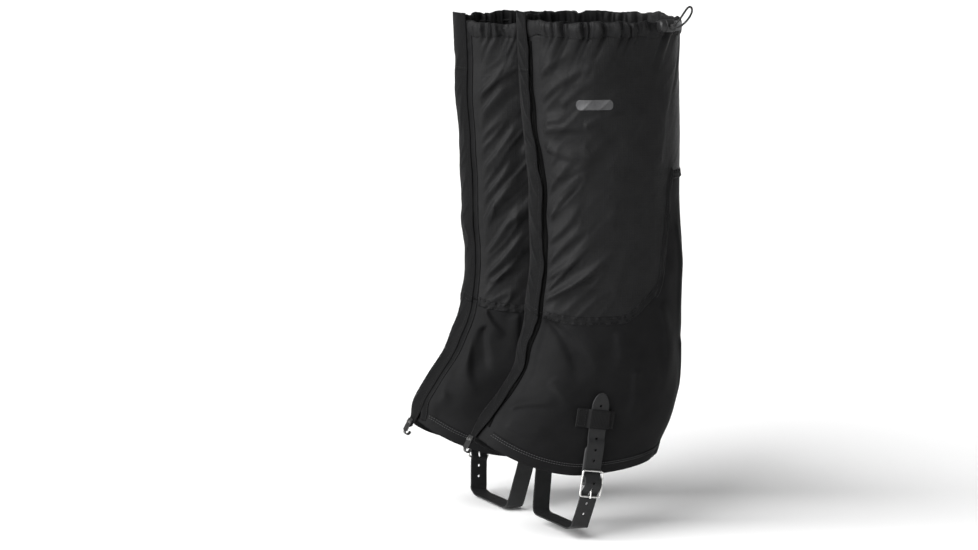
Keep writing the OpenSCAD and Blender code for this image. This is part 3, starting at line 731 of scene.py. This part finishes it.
def casing(side):
    a = np.linspace(A0, A1, 470)
    sec = spline(np.array(CASING_SECTION + CASING_SECTION[:1]), 2)[:-1]
    out, zf = sec[:, 0][:, None], sec[:, 1][:, None]
    u, k = arc(a)[None, :], shift_of(side)
    swell = billow(side, u)
    edge = ease((163 - np.abs(a)) / 6)[None, :] * 0.85 + 0.15
    d = upper_relief(side, a, np.full_like(a, CASING_Z - 0.01))[None, :] * (1 - 0.5 * zf)
    belly = 0.4 + 0.6 * np.sin(math.pi * zf)
    d = d + edge * (swell * 2.2 * zf + 0.8 * value_noise(u / 2.3 + k, zf * 2 + 3)) * belly
    dip = (-2.8 if side == "left" else 2.8) * np.sin(np.radians(a))[None, :]
    z = CASING_Z + rim_wave(side, u) * (1 - zf) + (CASING_H + dip) * zf
    z = z + edge * (1.6 * value_noise(u / 9 + k, 1.2) + 0.8 * swell - 0.4) * zf ** 2
    a_ripple = a[None, :] + edge * 1.1 * value_noise(u / 6 + k, zf * 1.6 + 6)
    p = outline(a_ripple, z, out * (0.9 + 0.1 * swell) + d)
    ns, nc = p.shape[:2]
    g = np.arange(ns * nc).reshape(ns, nc)
    after = np.roll(g, -1, 0)
    faces = np.stack([g[:, :-1], g[:, 1:], after[:, 1:], after[:, :-1]], -1).reshape(-1, 4).tolist()
    faces += [g[:, 0].tolist(), g[::-1, -1].tolist()]
    girth = run_along(sec * [1, CASING_H])
    uv = np.stack([np.broadcast_to(u, (ns, nc)).ravel(), np.repeat(girth + CASING_Z, nc)], -1) * MM
    ob = add(f"{side}_rim_casing", place(side, p.reshape(-1, 3)), faces, RIPSTOP, uv, 180)
    cut(ob, [cutter(side, (89, -47, CORD_Z), np.eye(3), 3.4, 2.9, 6)])
    ob.data.set_sharp_from_angle(angle=math.radians(180))
    finish_piece(ob, side, stands_for=["top_casing"], slot="ripstop")
    return ob


def seam_half_height(a):
    slope = (seam_z(a + 1) - seam_z(a - 1)) / 2.6
    return 4.5 * np.sqrt(1 + slope ** 2)


for side in SIDES:
    upper = panel(side, "upper", seam_z, level(CASING_Z + 2), 0.9, 125, RIPSTOP, "upper_panel", "ripstop")
    lower = panel(side, "lower", hem_z, seam_z, 1.0, 90, PACK, "lower_panel", "pack_cloth")
    rim = casing(side)
    a = np.linspace(-160, 158.6, 420)
    half = seam_half_height(a)
    seam, seam_line = band_on(side, "seam_strip", a, seam_z(a) - half, seam_z(a) + half, 13, 0.05, 0.9, BAND,
                              "seam_band", "pack_cloth", pucker=0.95, ruck=2.6)
    runs = [seam_line(0.22, 0.62), seam_line(0.78, 0.62)]
    seam_thread = stitches("seam_stitches", side, runs, 2.9, 2.1, 0.26, THREAD, slot="pack_cloth")
    low = hem_z(a)
    hem, hem_line = band_on(side, "hem_fold", a, low - 0.4, low + 12.5, 13, 0.02, 0.8, PACK, "hem_band",
                            "pack_cloth", pucker=0.10, ruck=5.0)
    runs = [hem_line(0.70, 0.74), hem_line(0.86, 0.74)]
    hem_thread = stitches("hem_stitches", side, runs, 2.7, 1.9, 0.26, THREAD_LIGHT, slot="pack_cloth")
    b = np.linspace(-172, 162, 380)
    rim_d = upper_relief(side, b, np.full_like(b, CASING_Z + 1.2))
    rim_line = outline(b, CASING_Z + 1.6 + rim_wave(side, arc(b)), rim_d * 0.95 + 0.95)
    rim_thread = stitches("rim_stitches", side, [(rim_line, outward(b, CASING_Z))], 2.8, 2.0, 0.28,
                          THREAD, slot="ripstop")

    # Heel elastic: a ribbed band inside the hem, drawn up into gathers
    e = np.linspace(-30, 30, 160)
    t = np.linspace(0, 1, 9)
    z = rows_between(hem_z(e) + 1.5, hem_z(e) + 13, t)
    ee = np.broadcast_to(e, z.shape)
    wave = 0.45 * np.sin(arc(ee) * 2 * math.pi / 3.4)
    d = lower_relief(side, ee, z) * 0.9
    cloth("heel_gather", side, outline(ee, z, d - THICK - 0.15 + wave * 0.3),
          outline(ee, z, d - THICK - 1.5 + wave), arc(ee), z, ELASTIC,
          stands_for=["heel_elastic"], slot="elastic")

# ---------------------------------------------------------------- front closure
# The loop tape's outer edge lies past the flap's free edge, so a near-black band of tape shows along the
# strip: partly the tape itself and partly a painted shadow gap.
SEWN_A, FREE_A, GAP_SHADE_TAPE_A = 193.6, 164.0, 161.0
TAPE_ROOT_A, HOOK_A = 176, 165.5
TIP_A = 179.5
EDGE_SEAMS = (0.13, 0.87)
COLUMNS = 22
FOLD_LINE = ((-40, 12.2, 300), (-40, 5.0, 300))


def fold_between(ob, side):
    """Bakes the piece's placement into its mesh. The fold line's two ends across the sewn edge are worked out
    but not used, so nothing bends here.
    """
    start, end = place(side, FOLD_LINE)
    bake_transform(ob)


def lean_in(z):
    """How far the closure's free edges turn inwards, in degrees: below the seam, and towards the rim."""
    return 4.0 * ease((225 - z) / 60) + 5.0 * ease((z - 345) / 55)


def strip_lift(side, z):
    k = shift_of(side)
    return 1.0 * value_noise(z / 26 + k, 5.1) + 0.6 * value_noise(z / 11 + k, 2.4)


def strip(side, name, low, high, rows, body, stands_for, base=3.0, tip=False, over=0.0):
    """One length of the closure strip, from its sewn edge (v 0) to its free edge (v 1).
    Returns functions for a line up it and a line across it, lifted off it."""
    v = np.linspace(0, 1, COLUMNS)[None, :]
    t = np.linspace(0, 1, rows)[:, None]
    k = shift_of(side)
    z_mid = low(178.0) + (high(178.0) - low(178.0)) * t
    free = (FREE_A + lean_in(z_mid) + 1.6 * value_noise(z_mid / 24 + k, 3.9)
            + 0.5 * value_noise(z_mid / 9 + k, 0.8))
    sewn = np.full_like(free, SEWN_A)
    if tip:
        narrow = ease((z_mid - low(178.0)) / 26) * 0.55 + 0.45
        free = TIP_A + (free - TIP_A) * narrow
        sewn = TIP_A + (sewn - TIP_A) * narrow
    a = sewn + (free - sewn) * v
    z = low(a) + (high(a) - low(a)) * t
    if tip:
        z = z - 3.0 * np.sin(math.pi * v) ** 0.8 * (1 - t) ** 6
    roll = 0.7 * np.sin(math.pi * np.clip(v, 0, 1)) ** 0.5
    seam_dip = -0.25 * sum(np.exp(-((v - s) / 0.035) ** 2) for s in EDGE_SEAMS)
    creases = 1.3 * (1 - np.abs(value_noise(z / 13 + 2.6 * v + k, 1.2 * v + 3.1))) ** 6
    lift = strip_lift(side, z) * (0.25 + 0.75 * v) + 0.9 * v ** 5 + creases * np.sin(math.pi * v)
    out = base + over + roll + seam_dip + lift
    edge = 0.45 + 0.55 * np.minimum(1, np.sin(math.pi * v) * 5)
    u = arc(180) + (a - 180) * 0.95
    ob = cloth(name, side, outline(a, z, out), outline(a, z, out - 1.2 * edge), u + 0 * z, z,
               STRIP, body=None, stands_for=stands_for, slot="webbing")
    fold_between(ob, side)

    def line(v0, lift0):
        c = int(round(v0 * (COLUMNS - 1)))
        return outline(a[:, c], z[:, c], out[:, c] + lift0), outward(a[:, c], z[:, c])

    def row(t0, lift0):
        n = int(round(t0 * (rows - 1)))
        return outline(a[n], z[n], out[n] + lift0), outward(a[n], z[n])

    return line, row


def tape(side, name, a_from, a_to, low, high, out_in, out_out, mat, body, node_name, rows=90, waves=0.0):
    """A length of hook or loop tape. waves makes its free edge uneven and its face wavy."""
    v = np.linspace(0, 1, 8)[None, :]
    t = np.linspace(0, 1, rows)[:, None]
    mid = low(a_from) + (high(a_from) - low(a_from)) * t
    uneven = 1.2 * value_noise(mid / 21 + shift_of(side), 7.9) * (1 if waves else 0)
    turn = 1.15 * lean_in(mid) + 0.8 * ease((mid - 345) / 55) if waves else 0.95 * lean_in(mid)
    a = a_from + (a_to + turn + uneven - a_from) * v
    z = low(a) + (high(a) - low(a)) * t
    swell = waves * value_noise(z / 12 + shift_of(side), 4.4)
    edge = 0.5 * (1 - np.minimum(1, np.sin(math.pi * v) * 4))
    cloth(name, side, outline(a, z, out_out + swell - edge * 0.6),
          outline(a, z, out_in + 0 * z), arc(180) + (a - 180) * 0.95, z, mat, body=body,
          stands_for=[node_name], slot="fastener_tape")


def share_lower(s):
    return lambda a: hem_z(a) + s * (seam_z(a) - hem_z(a))


def share_upper(s):
    return lambda a: seam_z(a) + s * (CASING_Z - seam_z(a))


# Each length: name, low edge, high edge, rows, which flap, how far over, tip, and its cross seam's place
LENGTHS = (
    ("top", share_upper(0.86), level(514.0), 34, "upper", 0.25, False, 0.08),
    ("upper", share_upper(-0.012), share_upper(0.872), 130, "upper", 0.5, False, 0.02),
    ("lower", share_lower(-0.035), share_lower(1.01), 90, "lower", 0.0, True, 0.97),
)
for side in SIDES:
    lines_of = [strip(side, f"strip_{name}", *edges, rows, f"flap_{flap}", [f"flap_{name}"], tip=tip,
                      over=over) for name, *edges, rows, flap, over, tip, _ in LENGTHS]
    for (line, row), (name, *_, flap, _, _, cross) in zip(lines_of, LENGTHS):
        runs = [line(EDGE_SEAMS[0], 0.05), line(EDGE_SEAMS[1], 0.05), row(cross, 0.1)]
        thread = stitches(f"strip_stitches_{name}", side, runs, 2.8, 1.9, 0.24, THREAD, body=None,
                          slot="webbing")
        fold_between(thread, side)

    # The sewn edge: a rounded welt under which the strip and the panel meet
    for tag, low, high, rows in (("low", share_lower(0.03), share_lower(1.0), 60),
                                 ("up", share_upper(0.0), level(506.0), 120)):
        v = np.linspace(0, 1, 10)[None, :]
        t = np.linspace(0, 1, rows)[:, None]
        a = 191.6 + 6.4 * v + 0 * t
        z = low(a) + (high(a) - low(a)) * t
        out = 2.3 * (1 - ease(v)) + 0.55 + 0.2 * value_noise(z / 4 + shift_of(side), 3.0)
        cloth(f"sewn_edge_{tag}", side, outline(a, z, out), outline(a, z, -0.4 + 0 * out),
              arc(180) + a - 180, z, PACK,
              stands_for=["closure_seam"] if tag == "low" else (), slot="webbing")
        line = outline(a[:, 8], z[:, 8], out[:, 8]), outward(a[:, 8], z[:, 8])
        stitches(f"sewn_edge_stitches_{tag}", side, [line], 2.8, 2.0, 0.25, THREAD, slot="webbing")

    # painted shade: the loop tape shows as a near-black band past the flap's free edge, partly the tape
    # itself and partly a stand-in for the shadow in the gap there
    tape(side, "loop_tape_up", TAPE_ROOT_A, GAP_SHADE_TAPE_A, share_upper(0.0), share_upper(0.985), -0.1, 1.1,
         LOOP_PILE_AND_GAP_SHADE, "gaiter", "loop_tape", waves=0.15)
    tape(side, "loop_tape_low", TAPE_ROOT_A, GAP_SHADE_TAPE_A, share_lower(0.11), share_lower(1.0), -0.1, 1.1,
         LOOP_PILE_AND_GAP_SHADE, "gaiter", "loop_tape", rows=60, waves=0.15)
    tape(side, "hook_strip_up", TAPE_ROOT_A, HOOK_A, share_upper(0.085), share_upper(0.86), 1.25, 2.4,
         HOOK_PILE, "flap_upper", "hook_tape_upper")
    tape(side, "hook_strip_low", TAPE_ROOT_A, HOOK_A, share_lower(0.13), share_lower(0.85), 1.25, 2.4,
         HOOK_PILE, "flap_lower", "hook_tape_lower", rows=60)

# ---------------------------------------------------------------- instep strap, keeper, tab and anchor
LEAN_DEG = 9.0
LEAN = math.radians(LEAN_DEG)
TILT = np.array([[math.cos(LEAN), 0, math.sin(LEAN)], [0, 1, 0], [-math.sin(LEAN), 0, math.cos(LEAN)]])
BUCKLE = np.array([47 * math.tan(LEAN), -57.2, 47.0])
STRAP_W, STRAP_T, HALF_W = 19.0, 2.0, 9.5
TAB_HALF, TAB_FACE = 9.8, 4.75
HOLE_R, HOLE_PITCH = 1.4, 11
# The strap's outer side, in the buckle's own frame: (height, depth, share of its full width)
SIDE_LINE = (
    (-45, 12, 1), (-40, 10.6, 1), (-28, 6.6, 1), (-15.5, 3.0, 1), (-11.5, 3.0, 1), (-3, -3.3, 1),
    (3, -3.3, 1), (10.5, 3.0, 1), (15.5, 3.0, 1), (28, 3.0, 1), (40, 3.0, 1), (47, 4.6, 1),
    (62, 4.6, 1), (76, 4.6, 1), (80, 4.6, 0.97), (83, 4.6, 0.88), (86, 4.6, 0.73), (88.5, 4.6, 0.54),
    (90.2, 4.6, 0.33), (91, 4.6, 0.12),
)


def in_buckle(p):
    """Points in the buckle's own frame, which leans back with the strap, to the gaiter's."""
    return np.asarray(p, float) @ TILT.T + BUCKLE


def ribbon(name, side, stations, thick, mat, bulge=0.12, cutters=(), **kw):
    """A flat band with rounded edges through stations of [x, y, z, half width, lean in degrees]."""
    st = np.array(stations, float)
    p, half, lean = st[:, :3], st[:, 3], np.radians(st[:, 4])
    across = np.stack([np.cos(lean), 0 * lean, -np.sin(lean)], -1)
    n = unit(np.cross(unit(np.gradient(p, axis=0)), across))
    h = thick / 2
    w = np.array([-1, -0.985, -0.94, -0.5, 0, 0.5, 0.94, 0.985, 1])
    rise = np.array([0.0, 0.6, 1.0, 1 + bulge, 1 + bulge * 1.2, 1 + bulge, 1.0, 0.6, 0.0])
    section = [(x, r) for x, r in zip(w, rise)] + [(x, -r) for x, r in zip(w[-2:0:-1], rise[-2:0:-1])]
    ring = np.stack([p + x * half[:, None] * across + r * h / (1 + bulge) * n for x, r in section], 1)
    m, s = ring.shape[:2]
    g = np.arange(m * s).reshape(m, s)
    after = np.roll(g, -1, 1)
    faces = np.stack([g[:-1], after[:-1], after[1:], g[1:]], -1).reshape(-1, 4).tolist()
    faces += [g[0, ::-1].tolist(), g[-1].tolist()]
    uv = np.stack([np.tile([x * half[0] for x, r in section], m), np.repeat(run_along(p), s)], -1) * MM
    ob = add(f"{side}_{name}", place(side, ring.reshape(-1, 3)), faces, mat, uv, 60)
    cut(ob, cutters)
    finish_piece(ob, side, **kw)


def straight_stitches(side, name, corners, normal, to_frame):
    """Stitches along straight lines between pairs of points, all facing one way."""
    runs = []
    for p, q in corners:
        line = to_frame(np.linspace(p, q, 40))
        runs.append((line, np.tile(normal, (len(line), 1))))
    stitches(name, side, runs, 2.4, 1.7, 0.24, THREAD, slot="webbing")


for side in SIDES:
    side_pts = [[*in_buckle((0, y, z)), share * STRAP_W / 2, LEAN_DEG] for z, y, share in SIDE_LINE]
    arch = [[0, y, -1, HALF_W, 0] for y in (34, 17, 0, -17, -34)]
    inner = [[15.9, 53.2, 84, HALF_W, LEAN_DEG], [9.7, 53.2, 50, HALF_W, LEAN_DEG],
             [6, 50, 30, HALF_W, LEAN_DEG], [1.5, 45, 6, HALF_W, 8], [0.5, 41, 0.5, HALF_W, 4]]
    stations = spline(inner + arch + [[0.5, -41, 0.5, HALF_W, 4]] + side_pts, 5)
    # Punched holes and one oval slot
    holes = [cutter(side, in_buckle((0, 0, 1 + HOLE_PITCH * k)), TILT, HOLE_R, HOLE_R, half)
             for k, half in [(n, 12) for n in range(1, 8)] + [(-2, 14), (-3, 14)]]
    holes += [cutter(side, in_buckle((0, 0, -8.2)), TILT, HOLE_R, 5.0, 5),
              cutter(side, in_buckle((0, 0, 1)), TILT, HOLE_R, HOLE_R, 12)]
    ribbon("strap", side, stations, STRAP_T, COATED, cutters=holes,
           stands_for=["instep_strap"], slot="coated_strap")

    # Keeper
    bend = spline([(-24.5, 5.35), (-18, 5.35), (-12.2, 5.3), (-10.9, 3.6), (-9.6, 2.5), (-5, 2.25), (0, 2.15),
                   (5, 2.25), (9.6, 2.5), (10.9, 3.6), (12.2, 5.3), (14.5, 5.35), (17.5, 5.35)], 5)
    tangent = unit(np.gradient(bend, axis=0))
    across = np.stack([tangent[:, 1], -tangent[:, 0]], -1)
    v = np.linspace(0, 1, 15)[:, None]
    z = 55 + 19 * v + 0 * bend[:, 0][None, :]
    round_off = 0.65 * np.minimum(1, np.sin(math.pi * v) * 6) ** 0.6
    grids = []
    for s in (1, -1):
        ply = (round_off * np.ones_like(z))[..., None] * across[None] * (1.0 if s == 1 else 0.9)
        q = bend[None] + s * ply
        grids.append(in_buckle(np.stack([q[..., 0], q[..., 1], z], -1)))
    cloth("keeper", side, grids[0], grids[1], z, run_along(bend)[None, :] + 0 * z, KEEPER,
          stands_for=["strap_keeper"], slot="webbing")
    y, low, high = 4.65, 56.5, 72.5
    corners = []
    for near_x, far_x in ((-15.0, -22.6), (13.4, 16.0)):
        corners += [((x, y, low), (x, y, high)) for x in (near_x, far_x)]
        corners += [((near_x, y, h), (far_x, y, h)) for h in (low, high)]
    straight_stitches(side, "keeper_stitches", corners, [0, -1.0, 0], in_buckle)

    # Buckle tab: folded round the centre bar, its two plies run up behind the strap
    loop = [(TAB_FACE, 37.4), (TAB_FACE, 30), (TAB_FACE, 20), (4.7, 12), (4.2, 7), (2.9, 3.9), (1.4, 2.0)]
    loop += [(0, 1.62)]
    loop += [(1.62 * math.sin(w), 1.62 * math.cos(w)) for w in np.radians([-35, -70, -105, -140, -170, -200])]
    loop += [(2.0, -0.9), (3.6, 1.0), (4.9, 4.4), (5.55, 8), (5.75, 14), (5.75, 22), (5.75, 30), (5.75, 37.4)]
    st = spline([[0, y, z, TAB_HALF, 0] for y, z in loop], 4)
    shrink = np.sqrt(np.clip((38.0 - st[:, 2]) / 4.5, 0.05, 1))
    full = [[*in_buckle(s[:3]), TAB_HALF * (0.55 + 0.45 * k if k < 1 else 1), LEAN_DEG]
            for s, k in zip(st, shrink)]
    notch = cutter(side, in_buckle((0, 0, 0)), TILT, 2.0, 4.6, 2.9)
    ribbon("tab", side, full, 0.95, TAB, cutters=[notch],
           stands_for=["buckle_tab"], slot="webbing")

    # Anchor patch on the inner side, with a turned edge and box stitching
    v = np.linspace(0, 1, 21)
    x, z = np.meshgrid(-12 + 24 * v, -11 + 24 * v)
    one_way = np.minimum(1, np.sin(math.pi * v) * 5)
    round_off = one_way[None, :] * one_way[:, None]
    seat = np.array([13.5, 52.2, 71.0])
    puff = 0.35 + 0.85 * np.sqrt(np.clip(round_off, 0, 1)) + 0.12 * value_noise(x / 3 + shift_of(side), z / 3)
    outer = np.stack([x, puff - 1.2, z], -1) @ TILT.T + seat
    inner_g = np.stack([x, -1.5 + 0 * x, z], -1) @ TILT.T + seat
    cloth("anchor_patch", side, outer, inner_g, x, z, KEEPER,
          stands_for=["strap_anchor"], slot="webbing")
    box = [(-10, 0.02, -9.2), (10, 0.02, -9.2), (10, 0.02, 11.2), (-10, 0.02, 11.2), (-10, 0.02, -9.2)]
    straight_stitches(side, "anchor_stitches", zip(box, box[1:]), [0, 1.0, 0], lambda p: p @ TILT.T + seat)

# ---------------------------------------------------------------- cord lock
# Turned profiles as (x, radius): the barrel has two grooves, and the plunger's head is ribbed
BARREL = (
    (-11, 0), (-11, 3.0), (-10.8, 4.3), (-10.2, 5.2), (-9.2, 5.9), (-7.8, 6.2), (-5.2, 6.3), (-4.9, 5.9),
    (-4.3, 5.9), (-4.0, 6.3), (3.4, 6.3), (3.7, 5.95), (4.3, 5.95), (4.6, 6.3), (5.4, 6.25), (5.9, 5.9),
    (6.0, 5.5), (5.9, 5.15), (5.4, 5.08), (-8.8, 5.08), (-9, 4.9), (-9, 0),
)
PLUNGER = (
    (-3, 0), (-3, 4.6), (-2.6, 5.0), (5.9, 5.0), (6.6, 4.95), (7.0, 4.6), (7.6, 4.55), (8.0, 4.98),
    (8.6, 4.98), (8.9, 4.6), (9.4, 4.6), (9.7, 4.98), (10.3, 4.98), (10.6, 4.6), (11.1, 4.6), (11.4, 4.95),
    (12.1, 4.9), (12.7, 4.3), (13, 3.2), (12.85, 1.6), (12.8, 0),
)
LOCK_X, LOCK_Y = 89.0, -59.0
for side in SIDES:
    lock = (LOCK_X, LOCK_Y, CORD_Z)
    slot_b = cutter(side, lock, np.eye(3), 2.2, 2.7, 12)
    lathe("lock_barrel", side, lock, BARREL, DARK, cutters=[slot_b], body="cord_lock",
          stands_for=["cord_lock_barrel"], slot="dark_plastic")
    slot_p = cutter(side, (lock[0] + 1.2, lock[1], lock[2]), np.eye(3), 2.7, 2.5, 12)
    lathe("lock_plunger", side, lock, PLUNGER, GREY, cutters=[slot_p], body="plunger",
          stands_for=["cord_lock_plunger"], slot="grey_plastic")
    w = np.linspace(0, 5 * 2 * math.pi, 130)
    coil = np.stack([-8.6 + 5.2 * w / w[-1], 3.1 * np.cos(w), 3.1 * np.sin(w)], -1) + np.array(lock)
    spring = tube("lock_spring", side, coil, 0.35, STEEL, sides=8, body="cord_lock",
                  stands_for=["cord_lock_spring"], slot="steel")
    place(side, (LOCK_X - 9, LOCK_Y, CORD_Z)).tolist()
    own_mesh(spring)

# ---------------------------------------------------------------- CAD metal that keeps its own shape
for side in SIDES:
    for piece, mat in (("lace_hook", BLACK_METAL), ("lace_hook_rivets", STEEL), ("strap_rivets", STEEL),
                       ("buckle_frame", STEEL), ("buckle_prong", STEEL)):
        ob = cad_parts[f"{side}_{piece}"]
        if ob.material_slots:
            for s in ob.material_slots:
                s.material = mat
        else:
            ob.data.materials.append(mat)

# ---------------------------------------------------------------- a plain pressed mark on the outer side
for side in SIDES:
    v, t = np.linspace(-1, 1, 45)[None, :], np.linspace(-1, 1, 13)[:, None]
    narrow = np.sqrt(np.clip(1 - np.clip((np.abs(v) - 0.78) / 0.22, 0, 1) ** 2, 0.02, 1))
    a = 114.0 - 14.0 * v + 0 * t
    z = 424.0 + 5.0 * t * narrow
    d = upper_relief(side, a, z)
    cloth("mark", side, outline(a, z, d + 0.18), outline(a, z, d - 0.3), arc(a), z, MARK, slot="ripstop")

# ---------------------------------------------------------------- floor and light
floor_mesh = bpy.data.meshes.new("floor")
HALF_FLOOR, FLOOR_Z = 60.0, -0.0125
square = [(x * HALF_FLOOR, y * HALF_FLOOR, FLOOR_Z) for x, y in ((-1, -1), (1, -1), (1, 1), (-1, 1))]
floor_mesh.from_pydata(square, [], [(0, 1, 2, 3)])
floor = bpy.data.objects.new("floor", floor_mesh)
bpy.context.collection.objects.link(floor)
pale, _ = new_material("floor_pale", (0.9, 0.9, 0.9), 0.8, spec=0.1)
floor_mesh.materials.append(pale)

world = bpy.data.worlds.new("world")
bpy.context.scene.world = world
world.use_nodes = True
world.node_tree.nodes["Background"].inputs[0].default_value = (1, 1, 1, 1)
world.node_tree.nodes["Background"].inputs[1].default_value = 0.14


def sun(name, direction, strength, angle):
    data = bpy.data.lights.new(name, "SUN")
    data.energy = strength
    data.angle = math.radians(angle)
    ob = bpy.data.objects.new(name, data)
    ob.rotation_euler = Vector(direction).to_track_quat("Z", "Y").to_euler()
    bpy.context.collection.objects.link(ob)


sun("key", (-1.0, -0.16, 0.64), 6.9, 66)
sun("fill", (0.1, -1.0, 0.9), 0.2, 60)
bpy.context.scene.view_settings.view_transform = "Standard"
